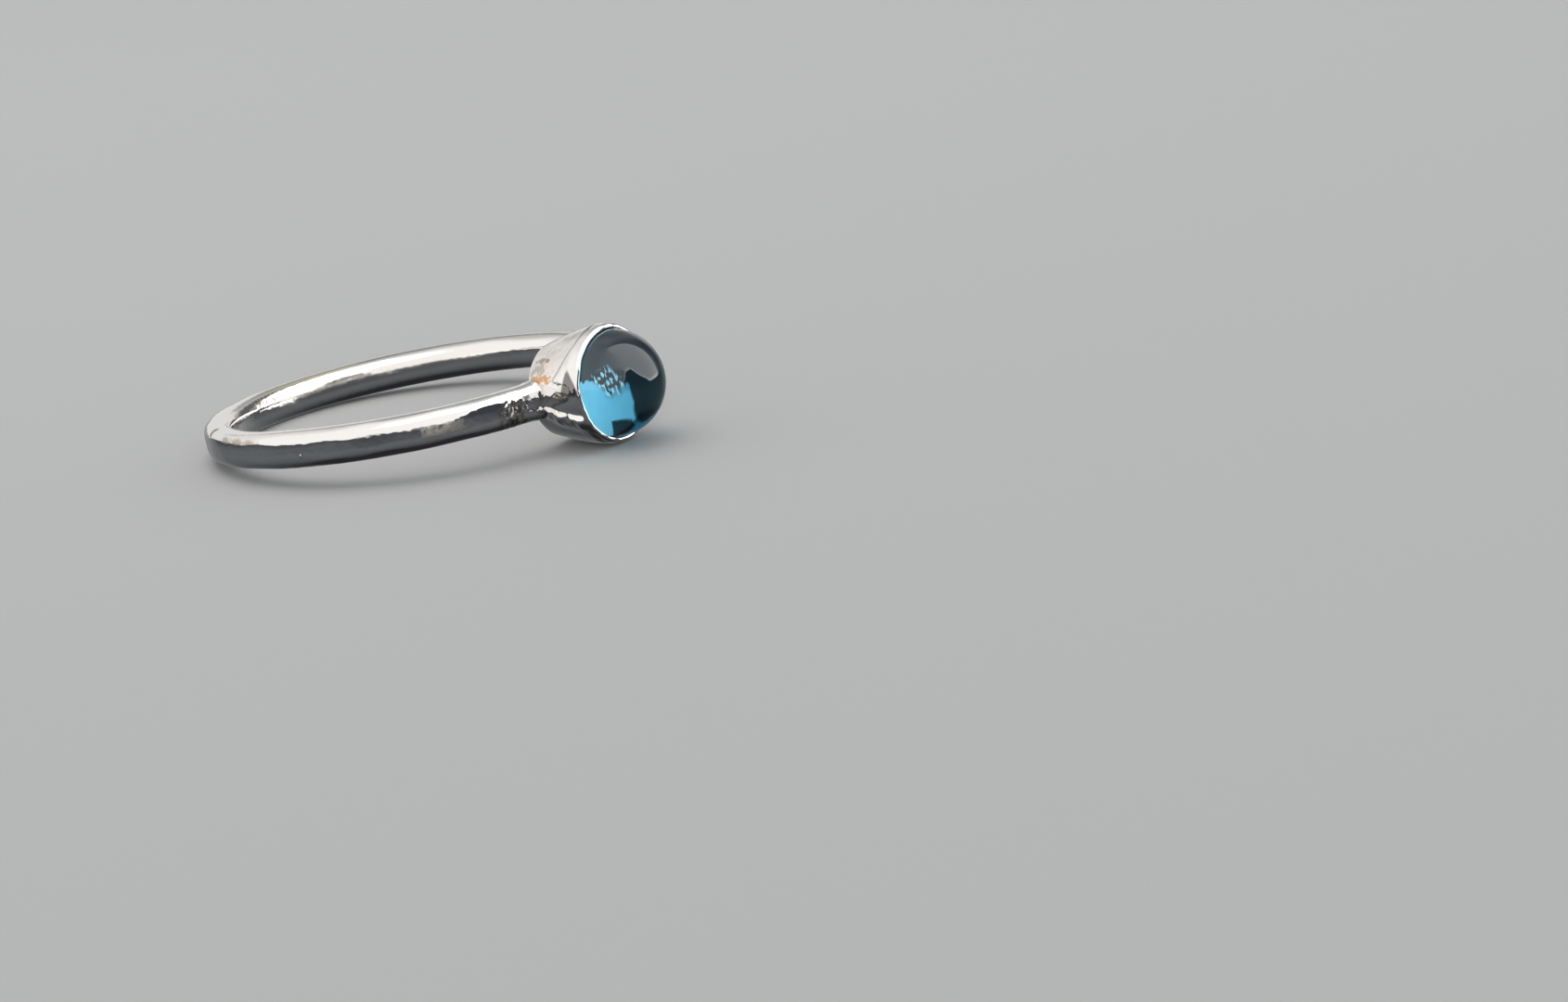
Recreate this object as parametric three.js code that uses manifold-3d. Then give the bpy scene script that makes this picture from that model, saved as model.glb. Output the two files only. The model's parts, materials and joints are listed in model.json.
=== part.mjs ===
// A stacking ring in silver with a round blue cabochon in a tapered bezel cup.
// Millimetres, +Z up. The ring lies on its side the way it comes to rest by itself: on the
// lowest point of the bezel's rim and on the band's lower edge on the opposite side. The origin
// is on the surface it lies on, under the middle of its outline, and the stone faces +X.
//
// Inside ringGroup the ring's own frame is used: its finger hole runs along Z, the band's
// middle plane is z = 0, and the stone looks along +X.
import * as THREE from 'three';
import { mergeVertices } from 'three/addons/utils/BufferGeometryUtils.js';
import Module from 'manifold-3d';

const wasm = await Module();
wasm.setup();

// ---- driving dimensions, mm ----
// band
const bandMidRadius = 9.4;      // finger hole 17.4 mm across, about ring size 7
const bandThickness = 1.4;      // from finger side to outer side
const bandWidth = 1.74;         // along the finger
const innerRoundness = 2.2;     // superellipse power of the finger side, 2 is an ellipse
const outerRoundness = 3.2;     // the outer side is hammered flatter
const bandSteps = 84;
const sectionSteps = 16;

// bezel cup, on an axis that points out of the band
const cupBaseRadius = 2.1;
const cupBellyRadius = 2.56;    // half way up, so the side is a little rounded
const cupRimRadius = 2.83;
const cupHeight = 3.5;
const cupBaseAt = 8.75;         // from the finger hole's axis: flush with the finger side
const cupTilt = 2.2;            // degrees, the cup looks a little upwards
const cupFloor = 0.5;
const wellRadius = 1.55;        // hollow under the stone, at its floor
const ledgeRadius = 2.1;        // the stone sits on this ledge
const ledgeHeight = 2.25;       // of the ledge over the cup's base
const cornerRound = 0.2;
const lipRound = 0.14;
const cupSteps = 48;

// cabochon
const stoneRadius = 2.5;
const girdleHeight = 1.0;       // straight side held by the bezel
const domeHeight = 2.5;
const seatGap = 0.05;           // under the stone
const sideGap = 0.07;           // around the stone
const domeSteps = 10;

// solder where the band's ends meet the cup
const filletSize = { along: 0.95, radial: 0.52, width: 0.78 };
const filletRadius = 9.55;      // distance of the solder's middle from the finger hole's axis
const filletAngle = 15.2;       // degrees either side of the stone

const silver = new THREE.MeshStandardMaterial({ color: 0xdedcd8, roughness: 0.12, metalness: 1 });
const blueStone = new THREE.MeshStandardMaterial({
  color: 0x2f8fb4, roughness: 0.04, metalness: 0, transparent: true, opacity: 0.75,
});

// ---- helpers ----
const radians = THREE.MathUtils.degToRad;

// A closed three.js mesh as a solid: merged corners, and no triangles of no area.
function solidOf(geometry) {
  const bare = geometry.clone();
  bare.deleteAttribute('normal');
  bare.deleteAttribute('uv');
  const merged = mergeVertices(bare, 1e-5);
  const corners = merged.index.array;
  const kept = [];
  for (let i = 0; i < corners.length; i += 3) {
    const [a, b, c] = corners.subarray(i, i + 3);
    if (a !== b && b !== c && c !== a) kept.push(a, b, c);
  }
  return new wasm.Manifold(new wasm.Mesh({
    numProp: 3,
    vertProperties: new Float32Array(merged.attributes.position.array),
    triVerts: new Uint32Array(kept),
  }));
}

function geometryOf(solid) {
  const mesh = solid.getMesh();
  const geometry = new THREE.BufferGeometry();
  geometry.setAttribute('position', new THREE.BufferAttribute(mesh.vertProperties, 3));
  geometry.setIndex(new THREE.BufferAttribute(mesh.triVerts, 1));
  geometry.computeVertexNormals();
  return geometry;
}

// A turned shape on the cup's axis. The profile is in [radius, height] from the cup's base.
function turnedOnCup(profile) {
  const points = profile.map(([radius, height]) => new THREE.Vector2(radius, height));
  const halfStep = Math.PI / cupSteps;
  const turned = new THREE.LatheGeometry(points, cupSteps, halfStep);
  turned.rotateZ(-Math.PI / 2);                 // the turning axis, +Y, to +X
  turned.rotateY(-radians(cupTilt));            // tilted up
  turned.translate(cupBaseAt, 0, 0);
  return solidOf(turned);
}

// Points on a quarter circle of the given radius about [cx, cy], from one angle to another.
function arc(cx, cy, radius, from, to, steps = 4) {
  const points = [];
  for (let i = 0; i <= steps; i += 1) {
    const angle = radians(from + (to - from) * i / steps);
    points.push([cx + radius * Math.cos(angle), cy + radius * Math.sin(angle)]);
  }
  return points;
}

// Outer radius of the cup at a height: a curve through the base, belly and rim radii.
function cupRadiusAt(height) {
  const t = height / cupHeight;
  const belly = 4 * cupBellyRadius - 2 * (cupBaseRadius + cupRimRadius);
  return cupBaseRadius * (1 - t) + cupRimRadius * t + belly * t * (1 - t);
}

// ---- silver: band, bezel cup and solder ----
// The band's section turned about the finger hole. Its inner half is rounder than its outer.
function bandSolid() {
  const section = [];
  for (let i = 0; i <= sectionSteps; i += 1) {
    const angle = 2 * Math.PI * i / sectionSteps;
    const c = Math.cos(angle);
    const s = Math.sin(angle);
    const power = 2 / (c > 0 ? outerRoundness : innerRoundness);
    const out = bandThickness / 2 * Math.sign(c) * Math.abs(c) ** power;
    const up = bandWidth / 2 * Math.sign(s) * Math.abs(s) ** power;
    section.push(new THREE.Vector2(bandMidRadius + out, up));
  }
  section[sectionSteps].copy(section[0]);
  const band = new THREE.LatheGeometry(section, bandSteps, Math.PI / bandSteps);
  band.rotateX(Math.PI / 2);                    // the turning axis, +Y, to +Z
  return solidOf(band);
}

// The cup's outer shape: flat base with a rounded corner, bellied side, rounded lip.
function cupBody() {
  const sideSteps = 7;
  const side = [];
  for (let i = 0; i <= sideSteps; i += 1) {
    const height = cornerRound + (cupHeight - lipRound - cornerRound) * i / sideSteps;
    side.push([cupRadiusAt(height), height]);
  }
  const base = arc(cupBaseRadius - cornerRound, cornerRound, cornerRound, -90, -15, 3);
  const lip = arc(cupRimRadius - lipRound, cupHeight - lipRound, lipRound, 15, 90, 3);
  return turnedOnCup([[0, 0], ...base, ...side, ...lip, [0, cupHeight]]);
}

// The hollow of the cup: a tapered well, the ledge the stone sits on, and the stone's socket.
function cupHollow() {
  const socketRadius = stoneRadius + sideGap;
  const above = cupHeight + 1;
  return turnedOnCup([
    [0, cupFloor], [wellRadius, cupFloor], [ledgeRadius, ledgeHeight],
    [socketRadius, ledgeHeight], [socketRadius, above], [0, above],
  ]);
}

// What the band is cut away by, so that its ends stop inside the cup's wall.
function bandNotch() {
  const inset = 0.12;
  return turnedOnCup([
    [0, -1], [cupBaseRadius - inset, -1], [cupBaseRadius - inset, 0.1],
    [cupRadiusAt(2) - inset, 2], [0, 2],
  ]);
}

// A lump of solder between the band and the side of the cup, on one side of it.
function solderFillet(side) {
  const lump = new THREE.SphereGeometry(1, 20, 12);
  lump.rotateX(Math.PI / 2);
  lump.scale(filletSize.radial, filletSize.along, filletSize.width);
  lump.translate(filletRadius, 0, 0);
  lump.rotateZ(side * radians(filletAngle));
  return solidOf(lump);
}

function silverSolid() {
  return bandSolid()
    .subtract(bandNotch())
    .add(solderFillet(1))
    .add(solderFillet(-1))
    .add(cupBody())
    .subtract(cupHollow());
}

// ---- stone: a high round cabochon with a flat back ----
function cabochonSolid() {
  const back = ledgeHeight + seatGap;
  const girdle = back + girdleHeight;
  const dome = [];
  for (let i = 0; i < domeSteps; i += 1) {
    const angle = Math.PI / 2 * i / domeSteps;
    dome.push([stoneRadius * Math.cos(angle), girdle + domeHeight * Math.sin(angle)]);
  }
  const bevel = 0.12;
  return turnedOnCup([
    [0, back], [stoneRadius - bevel, back], [stoneRadius, back + bevel],
    ...dome, [0, girdle + domeHeight],
  ]);
}

// ---- how it lies ----
// Lowest corner of one end of the ring (sign +1 the stone's, -1 the other) at a tilt about Y.
function lowest(positions, tilt, sign) {
  let low = Infinity;
  for (let i = 0; i < positions.count; i += 1) {
    const x = positions.getX(i);
    const height = x * Math.sin(tilt) + positions.getZ(i) * Math.cos(tilt);
    if (x * sign > 0) low = Math.min(low, height);
  }
  return low;
}

// The tilt at which both ends touch the surface, found by halving.
function restTilt(positions) {
  let flat = 0;
  let steep = radians(20);
  for (let i = 0; i < 40; i += 1) {
    const tilt = (flat + steep) / 2;
    if (lowest(positions, tilt, 1) < lowest(positions, tilt, -1)) flat = tilt;
    else steep = tilt;
  }
  return (flat + steep) / 2;
}

function namedMesh(name, geometry, material) {
  const mesh = new THREE.Mesh(geometry, material);
  mesh.name = name;
  return mesh;
}

const silverMesh = namedMesh('band_with_bezel_cup', geometryOf(silverSolid()), silver);
const stoneMesh = namedMesh('cabochon', geometryOf(cabochonSolid()), blueStone);

const ringGroup = new THREE.Group();
ringGroup.add(silverMesh, stoneMesh);
ringGroup.rotation.y = -restTilt(silverMesh.geometry.attributes.position);

const object = new THREE.Group();
object.add(ringGroup);
object.updateMatrixWorld(true);
const box = new THREE.Box3().setFromObject(object, true);
ringGroup.position.set(
  -(box.min.x + box.max.x) / 2,
  -(box.min.y + box.max.y) / 2,
  -box.min.z,
);
object.updateMatrixWorld(true);

export default object;
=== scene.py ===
"""Looks for a silver stacking ring with a round blue cabochon in a bezel cup.

Every shape is worked out in the ring's own frame, in millimetres: the finger hole runs along Z,
the middle of the band is z = 0 and the stone looks along +X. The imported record's one mount, the
flat underside of the bezel cup, says where that frame lies in the row frame.
"""

import json
import logging
import math
from dataclasses import dataclass, field
from enum import Enum

import bpy
import numpy as np
from mathutils import Matrix, Vector


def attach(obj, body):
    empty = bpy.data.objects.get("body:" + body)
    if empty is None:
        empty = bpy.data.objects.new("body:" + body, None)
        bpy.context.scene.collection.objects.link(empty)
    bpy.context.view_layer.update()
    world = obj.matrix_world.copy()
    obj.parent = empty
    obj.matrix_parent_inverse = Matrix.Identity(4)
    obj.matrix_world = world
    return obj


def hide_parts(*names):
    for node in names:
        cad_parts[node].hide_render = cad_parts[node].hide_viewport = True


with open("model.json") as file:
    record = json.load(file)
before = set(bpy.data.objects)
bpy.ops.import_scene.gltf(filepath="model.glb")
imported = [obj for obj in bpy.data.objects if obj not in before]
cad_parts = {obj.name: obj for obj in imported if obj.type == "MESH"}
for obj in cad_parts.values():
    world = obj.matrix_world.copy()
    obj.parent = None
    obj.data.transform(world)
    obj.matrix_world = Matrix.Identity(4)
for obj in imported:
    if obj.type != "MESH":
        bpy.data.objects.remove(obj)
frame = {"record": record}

LOG = logging.getLogger("stacking_ring")
MM = 0.001
BODY = "root"

# The cup's underside stands this far from the finger hole's axis, in millimetres, and the cup's
# own axis is tipped up by this much from the ring's X axis.
CUP_BASE_AT = 8.75
CUP_TILT = math.radians(2.2)

# Noise: waves in each octave, how much weaker the next octave is, and the size they sum to.
BUMP_WAVES = 5
BUMP_FADE = 0.55
BUMP_SIZE = 3.2


class Slot(Enum):
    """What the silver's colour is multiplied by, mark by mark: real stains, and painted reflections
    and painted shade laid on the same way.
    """

    SILVER = "silver"
    STONE = "blue_stone"


class Node(Enum):
    """CAD nodes that the pieces here stand for."""

    METAL = "band_with_bezel_cup"
    STONE = "cabochon"


# -------- numpy helpers


def smoothstep(low: float, high: float, value: np.ndarray) -> np.ndarray:
    """0 below low, 1 above high, and the cubic 3t^2 - 2t^3 between them."""
    t = np.clip((value - low) / (high - low), 0.0, 1.0)
    return t * t * (3.0 - 2.0 * t)


def smooth_min(a: np.ndarray, b: np.ndarray, radius: float) -> np.ndarray:
    """The smaller of a and b, with the corner where they cross rounded over a radius."""
    h = np.clip(0.5 + 0.5 * (b - a) / radius, 0.0, 1.0)
    return b * (1.0 - h) + a * h - radius * h * (1.0 - h)


def bumps(points: np.ndarray, scale: float, seed: int, octaves: int = 3) -> np.ndarray:
    """Smooth noise in space: a sum of sine waves of seeded direction and phase.

    Args:
        points: array of shape (..., 3), in millimetres.
        scale: length of the longest wave, in millimetres.
        seed: seed of the waves.
        octaves: how many times the wave is halved.

    Returns:
        Values of about -1 to 1, of shape (...).
    """
    rng = np.random.default_rng(seed)
    total = np.zeros(points.shape[:-1])
    weight = 1.0
    for _ in range(octaves):
        for _ in range(BUMP_WAVES):
            direction = rng.normal(size=3)
            direction /= np.linalg.norm(direction)
            wave = 2.0 * math.pi / (scale * rng.uniform(0.8, 1.3))
            total += weight * np.sin(points @ direction * wave + rng.uniform(0, 2 * math.pi))
        weight *= BUMP_FADE
        scale *= 0.5
    return total / BUMP_SIZE


def bell(value: np.ndarray, middle: float, half: float) -> np.ndarray:
    """A bell of height 1: the Gauss curve with the given half width."""
    return np.exp(-((value - middle) / half) ** 2)


def span(value: np.ndarray, low: float, high: float, soft: float) -> np.ndarray:
    """1 between low and high and 0 outside, with soft ends."""
    return (smoothstep(low - soft, low + soft, value)
            * (1 - smoothstep(high - soft, high + soft, value)))


def blot(share: np.ndarray, points: np.ndarray, scale: float, seed: int,
         sharp: float = 0.18) -> np.ndarray:
    """A patch with a ragged edge: the share, moved by noise, cut off at one half."""
    ragged = smoothstep(0.5 - sharp, 0.5 + sharp, share + 0.45 * bumps(points, scale, seed))
    return ragged * smoothstep(0.02, 0.25, share)


def superellipse(angle: np.ndarray, half_out: float, half_up: float,
                 power_in: float, power_out: float) -> np.ndarray:
    """Distance from the middle of a band's section to its edge, at a polar angle.

    The edge is |out / half_out|^p + |up / half_up|^p = 1, with p blended from the finger side's
    power to the outer side's, so that the section has no corner where the two meet.
    """
    power = power_in + (power_out - power_in) * smoothstep(-0.35, 0.35, np.cos(angle))
    return (np.abs(np.cos(angle) / half_out) ** power
            + np.abs(np.sin(angle) / half_up) ** power) ** (-1.0 / power)


# -------- placing and meshes


@dataclass(frozen=True)
class Lie:
    """How the ring's own frame lies in the row frame, read from the record's mount.

    The mount is the middle of the cup's underside, which is base_at from the finger hole's axis,
    and the cup's axis is tipped up by cup_tilt from the ring's own X axis.
    """

    base_at: float = CUP_BASE_AT
    cup_tilt: float = CUP_TILT

    def matrix(self) -> Matrix:
        """Turn and shift from the ring's frame in millimetres to the row frame in metres."""
        mount = frame["record"]["mounts"][0]
        axis = Vector(mount["axis"])
        tilt = math.atan2(-axis.z, -axis.x) - self.cup_tilt
        turn = Matrix.Rotation(-tilt, 4, "Y")
        foot = turn @ Vector((self.base_at * MM, 0.0, 0.0))
        shift = Matrix.Translation(Vector(mount["pos_m"]) - foot)
        return shift @ turn @ Matrix.Scale(MM, 4)

    def place(self, points: np.ndarray) -> np.ndarray:
        """Points of shape (..., 3) in the ring's frame, in millimetres, to the row frame."""
        m = np.array(self.matrix())
        return points @ m[:3, :3].T + m[:3, 3]


@dataclass
class Grid:
    """A surface as a grid of points, rows by columns, put into a mesh.

    Args:
        points: array of shape (rows, columns, 3), in the ring's frame, in millimetres. The last
            column joins the first, and the first and last rows are closed by fans to their middles.
        flip: whether the faces are turned round, so that they point outwards.
    """

    points: np.ndarray
    flip: bool = False

    def faces(self) -> tuple[np.ndarray, np.ndarray]:
        """Corner indices of the quads, and of the triangles at the poles."""
        rows, columns = self.points.shape[:2]
        index = np.arange(rows * columns).reshape(rows, columns)
        right = np.roll(index, -1, axis=1)
        quads = np.stack([index[:-1], right[:-1], right[1:], index[1:]], -1).reshape(-1, 4)
        first_pole = np.full(columns, rows * columns)
        triangles = np.concatenate([np.stack([right[0], index[0], first_pole], -1),
                                    np.stack([index[-1], right[-1], first_pole + 1], -1)])
        if self.flip:
            quads, triangles = quads[:, ::-1], triangles[:, ::-1]
        return quads, triangles

    def corners(self) -> np.ndarray:
        """All the points as one list, with the poles' middles at its end."""
        return self.with_poles(self.points)

    @staticmethod
    def with_poles(values: np.ndarray) -> np.ndarray:
        """A value for every corner, from one for every grid point."""
        return np.concatenate([values.reshape(-1, *values.shape[2:]),
                               values[0].mean(axis=0, keepdims=True),
                               values[-1].mean(axis=0, keepdims=True)])

    def build(self, name: str, lie: Lie,
              marks: dict[str, np.ndarray] | None = None) -> bpy.types.Object:
        """The mesh object, with its place in its mesh.

        Args:
            name: the object's name.
            lie: where the ring's frame lies.
            marks: attribute names, each with a value or a vector for each grid point.

        Returns:
            The new object, linked to the scene.
        """
        quads, triangles = self.faces()
        mesh = bpy.data.meshes.new(name)
        corners = lie.place(self.corners())
        mesh.vertices.add(len(corners))
        mesh.vertices.foreach_set("co", corners.astype(np.float32).ravel())
        loops = np.concatenate([quads.ravel(), triangles.ravel()]).astype(np.int32)
        mesh.loops.add(len(loops))
        mesh.loops.foreach_set("vertex_index", loops)
        sizes = np.concatenate([np.full(len(quads), 4), np.full(len(triangles), 3)])
        mesh.polygons.add(len(sizes))
        starts = np.concatenate([[0], np.cumsum(sizes)[:-1]]).astype(np.int32)
        mesh.polygons.foreach_set("loop_start", starts)
        mesh.polygons.foreach_set("use_smooth", np.ones(len(sizes), bool))
        for title, values in (marks or {}).items():
            vector = values.ndim == 3
            layer = mesh.attributes.new(title, "FLOAT_VECTOR" if vector else "FLOAT", "POINT")
            layer.data.foreach_set("vector" if vector else "value",
                                   self.with_poles(values).astype(np.float32).ravel())
        mesh.update(calc_edges=True)
        mesh.validate()
        piece = bpy.data.objects.new(name, mesh)
        bpy.context.scene.collection.objects.link(piece)
        return piece


# -------- finishes


class Nodes:
    """A short way to write a node tree."""

    def __init__(self, tree: bpy.types.NodeTree) -> None:
        """Start from an empty tree."""
        self.tree = tree
        self.tree.nodes.clear()

    def add(self, kind: str, inputs: dict | None = None, **settings) -> bpy.types.Node:
        """Add a node.

        Args:
            kind: the node's type without "ShaderNode".
            inputs: input name or number to a value, or to another node's output socket.
            settings: the node's own properties.

        Returns:
            The node.
        """
        node = self.tree.nodes.new("ShaderNode" + kind)
        for key, value in settings.items():
            setattr(node, key, value)
        for key, value in (inputs or {}).items():
            if isinstance(value, bpy.types.NodeSocket):
                self.tree.links.new(value, node.inputs[key])
            else:
                node.inputs[key].default_value = value
        return node

    def ramp(self, factor: bpy.types.NodeSocket,
             stops: list[tuple[float, tuple]]) -> bpy.types.NodeSocket:
        """A colour ramp over a factor, from (place, colour) stops in order."""
        node = self.add("ValToRGB", {"Fac": factor})
        elements = node.color_ramp.elements
        while len(elements) < len(stops):
            elements.new(0.5)
        for element, (place, colour) in zip(elements, stops):
            element.position = place
            element.color = (*colour, 1.0)
        return node.outputs["Color"]

    def mix(self, factor, a, b, blend: str = "MIX") -> bpy.types.NodeSocket:
        """A colour between a and b, each a colour or a socket."""
        a, b = (end if isinstance(end, bpy.types.NodeSocket) else (*end, 1.0) for end in (a, b))
        node = self.add("Mix", {"Factor": factor, "A": a, "B": b},
                        data_type="RGBA", blend_type=blend)
        return node.outputs["Result"]

    def attribute(self, name: str, output: str = "Fac") -> bpy.types.NodeSocket:
        """An attribute of the piece."""
        return self.add("Attribute", attribute_name=name).outputs[output]

    def math(self, operation: str, a, b=0.0, clamp: bool = False) -> bpy.types.NodeSocket:
        """A maths node of two inputs, each a number or a socket."""
        node = self.add("Math", {0: a, 1: b}, operation=operation, use_clamp=clamp)
        return node.outputs[0]


def start_material(name: str) -> tuple[bpy.types.Material, Nodes]:
    """A new material and its empty node tree."""
    made = bpy.data.materials.new(name)
    made.use_nodes = True
    return made, Nodes(made.node_tree)


class StainAndPaintedLight(Enum):
    """What the silver's colour is multiplied by, stain by stain."""

    COPPER_PAINTED_REFLECTION = (0.80, 0.47, 0.26)
    BLUSH = (0.98, 0.80, 0.70)
    BROWN = (0.50, 0.40, 0.33)
    ASH = (0.52, 0.50, 0.47)
    WEDGE = (0.16, 0.15, 0.15)
    GROOVE = (0.32, 0.28, 0.25)
    MOTTLE = (0.68, 0.64, 0.60)
    INNER_LIP_PAINTED_SHADE = (0.30, 0.31, 0.33)
    WELL_PAINTED_SHADE = (0.45, 0.43, 0.40)
    SOLDER_AND_PAINTED_SHADE = (0.62, 0.54, 0.45)
    BEIGE_PAINTED_REFLECTION = (0.84, 0.80, 0.71)
    RUST = (0.52, 0.43, 0.36)
    SHOULDER_PAINTED_REFLECTION = (0.56, 0.56, 0.55)
    IVORY_PAINTED_REFLECTION = (1.0, 0.985, 0.80)
    DUN_PAINTED_REFLECTION = (0.74, 0.70, 0.60)
    WARM_PAINTED_REFLECTION = (0.99, 0.97, 0.93)
    FLECK = (0.30, 0.27, 0.22)
    CRUMB = (0.80, 0.77, 0.68)
    CRUMB_SHADE = (0.36, 0.31, 0.25)
    NICK = (0.15, 0.12, 0.10)


@dataclass
class Surface:
    """What the silver's finish follows over a piece: its colour factor (the colour that the silver
    is multiplied by, holding real stains and painted light) and scuff (0 polished, 1 dull)."""

    points: np.ndarray
    stain_and_painted_light: np.ndarray = field(init=False)
    scuff: np.ndarray = field(init=False)

    def __post_init__(self) -> None:
        """Start clean and polished."""
        self.stain_and_painted_light = np.ones(self.points.shape)
        self.scuff = np.zeros(self.points.shape[:-1])

    def paint(self, share: np.ndarray, colour: StainAndPaintedLight, scuff: float = 0.0) -> None:
        """Lay a mark over the points: a stain, a painted reflection or painted shade.

        Args:
            share: how thick it lies at each point, 0 to 1.
            colour: which mark.
            scuff: how dull the silver is under it, 0 to 1.
        """
        layer = share[..., None]
        self.stain_and_painted_light = self.stain_and_painted_light * (1 - layer) + np.array(colour.value) * layer
        self.scuff = np.maximum(self.scuff, share * scuff)

    def marks(self, grain: np.ndarray) -> dict[str, np.ndarray]:
        """The attributes of the piece."""
        return {"grain": grain, "stain_and_painted_light": self.stain_and_painted_light, "scuff": self.scuff}


@dataclass(frozen=True)
class PolishedSilver:
    """Polished sterling silver: bright, hardly yellow, with fine rubbing marks; stained, dull, and
    tinted or darkened by painted reflections and painted shade where its piece says so."""

    name: str = "polished_silver"
    bright: tuple = (0.93, 0.915, 0.90)
    roughness: float = 0.045
    dull: float = 0.38
    rubbing: float = 0.07
    dents: float = 0.03
    uneven: float = 0.05
    grain_scale: float = 9.0
    speck_scale: float = 2600.0
    rub_depth: float = 0.00001
    speck_depth: float = 0.00004

    def material(self) -> bpy.types.Material:
        """The node material. It reads its piece's attributes for grain, for stains with painted
        light, and for scuff.
        """
        made, n = start_material(self.name)
        grain = n.attribute("grain", "Vector")
        stain_and_painted_light = n.attribute("stain_and_painted_light", "Vector")
        scuff = n.attribute("scuff")
        place = n.add("TexCoord").outputs["Object"]
        marks = n.add("TexNoise", {"Vector": grain, "Scale": self.grain_scale, "Detail": 6.0,
                                   "Roughness": 0.6}).outputs["Fac"]
        specks = n.add("TexNoise", {"Vector": place, "Scale": self.speck_scale,
                                    "Detail": 3.0}).outputs["Fac"]
        colour = n.mix(1.0, self.bright, stain_and_painted_light, "MULTIPLY")
        rough = n.math("ADD", n.math("MULTIPLY", marks, self.uneven),
                       n.math("ADD", self.roughness - 0.4 * self.uneven,
                              n.math("MULTIPLY", scuff, self.dull)))
        fine = n.add("Bump", {"Strength": self.rubbing, "Distance": self.rub_depth,
                              "Height": marks})
        soft = n.add("Bump", {"Strength": self.dents, "Distance": self.speck_depth,
                              "Height": specks,
                              "Normal": fine.outputs["Normal"]})
        shader = n.add("BsdfPrincipled", {
            "Base Color": colour, "Metallic": 1.0, "Roughness": rough,
            "Normal": soft.outputs["Normal"]})
        n.add("OutputMaterial", {"Surface": shader.outputs[0]})
        return made


@dataclass(frozen=True)
class ClearBlueStone:
    """Clear sky-blue stone: smooth and refracting, its colour taken up along the light's way.
    It reads an attribute of its piece for a film: where it is 1, the dome is darkened, a painted
    shade."""

    name: str = "clear_blue_stone"
    ior: float = 1.61
    tint: tuple = (0.90, 0.97, 1.0)
    painted_shade_tint: tuple = (0.012, 0.065, 0.10)
    taken_up: tuple = (0.0, 0.76, 0.97)
    density: float = 120.0
    coat: float = 0.15

    def material(self) -> bpy.types.Material:
        """The node material."""
        made, n = start_material(self.name)
        # The dome's colour turns to the painted shade tint where the film is 1.
        clear = n.mix(n.attribute("painted_shade_film"), self.tint, self.painted_shade_tint)
        shader = n.add("BsdfPrincipled", {
            "Base Color": clear, "Roughness": 0.0, "IOR": self.ior,
            "Coat Weight": self.coat, "Coat Roughness": 0.0, "Coat IOR": self.ior,
            "Transmission Weight": 1.0})
        inside = n.add("VolumeAbsorption", {"Color": (*self.taken_up, 1), "Density": self.density})
        n.add("OutputMaterial", {"Surface": shader.outputs[0], "Volume": inside.outputs[0]})
        return made


@dataclass(frozen=True)
class PaintedLightFoil:
    """The foil on the stone's flat back, which carries painted light: pale where it stands for
    bright sky reflected off the cup's inner wall (a painted reflection), black elsewhere (a painted
    shade).
    It reads the attribute foil (0 black, 1 pale) and an attribute that turns it white on the
    shreds, a painted highlight, of its piece."""

    name: str = "foil_painted_light"
    # black is a painted shade, pale a painted reflection of bright sky, white a painted glint.
    black: tuple = (0.010, 0.024, 0.031)
    pale: tuple = (0.42, 0.82, 0.97)
    white: tuple = (1.0, 1.0, 1.0)
    cloud_scale: float = 1400.0
    cloud_depth: float = 0.35
    cloud_least: float = 0.82
    roughness: float = 0.6

    def material(self) -> bpy.types.Material:
        """The node material."""
        made, n = start_material(self.name)
        foil = n.attribute("foil")
        place = n.add("TexCoord").outputs["Object"]
        cloud = n.add("TexNoise", {"Vector": place, "Scale": self.cloud_scale,
                                   "Detail": 5.0}).outputs["Fac"]
        cloudy = n.math("ADD", n.math("MULTIPLY", cloud, self.cloud_depth), self.cloud_least)
        shade = n.math("MULTIPLY", foil, cloudy, clamp=True)
        sheet = n.mix(n.attribute("painted_glint"), self.pale, self.white)
        colour = n.mix(shade, self.black, sheet)
        shader = n.add("BsdfPrincipled", {"Base Color": colour, "Roughness": self.roughness})
        n.add("OutputMaterial", {"Surface": shader.outputs[0]})
        return made


@dataclass(frozen=True)
class PaleFloor:
    """A matt pale board."""

    name: str = "pale_board"
    colour: tuple = (0.62, 0.62, 0.61)
    roughness: float = 0.8

    def material(self) -> bpy.types.Material:
        """The node material."""
        made, n = start_material(self.name)
        shader = n.add("BsdfPrincipled", {"Base Color": (*self.colour, 1),
                                          "Roughness": self.roughness})
        n.add("OutputMaterial", {"Surface": shader.outputs[0]})
        return made


# -------- bezel cup


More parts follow.
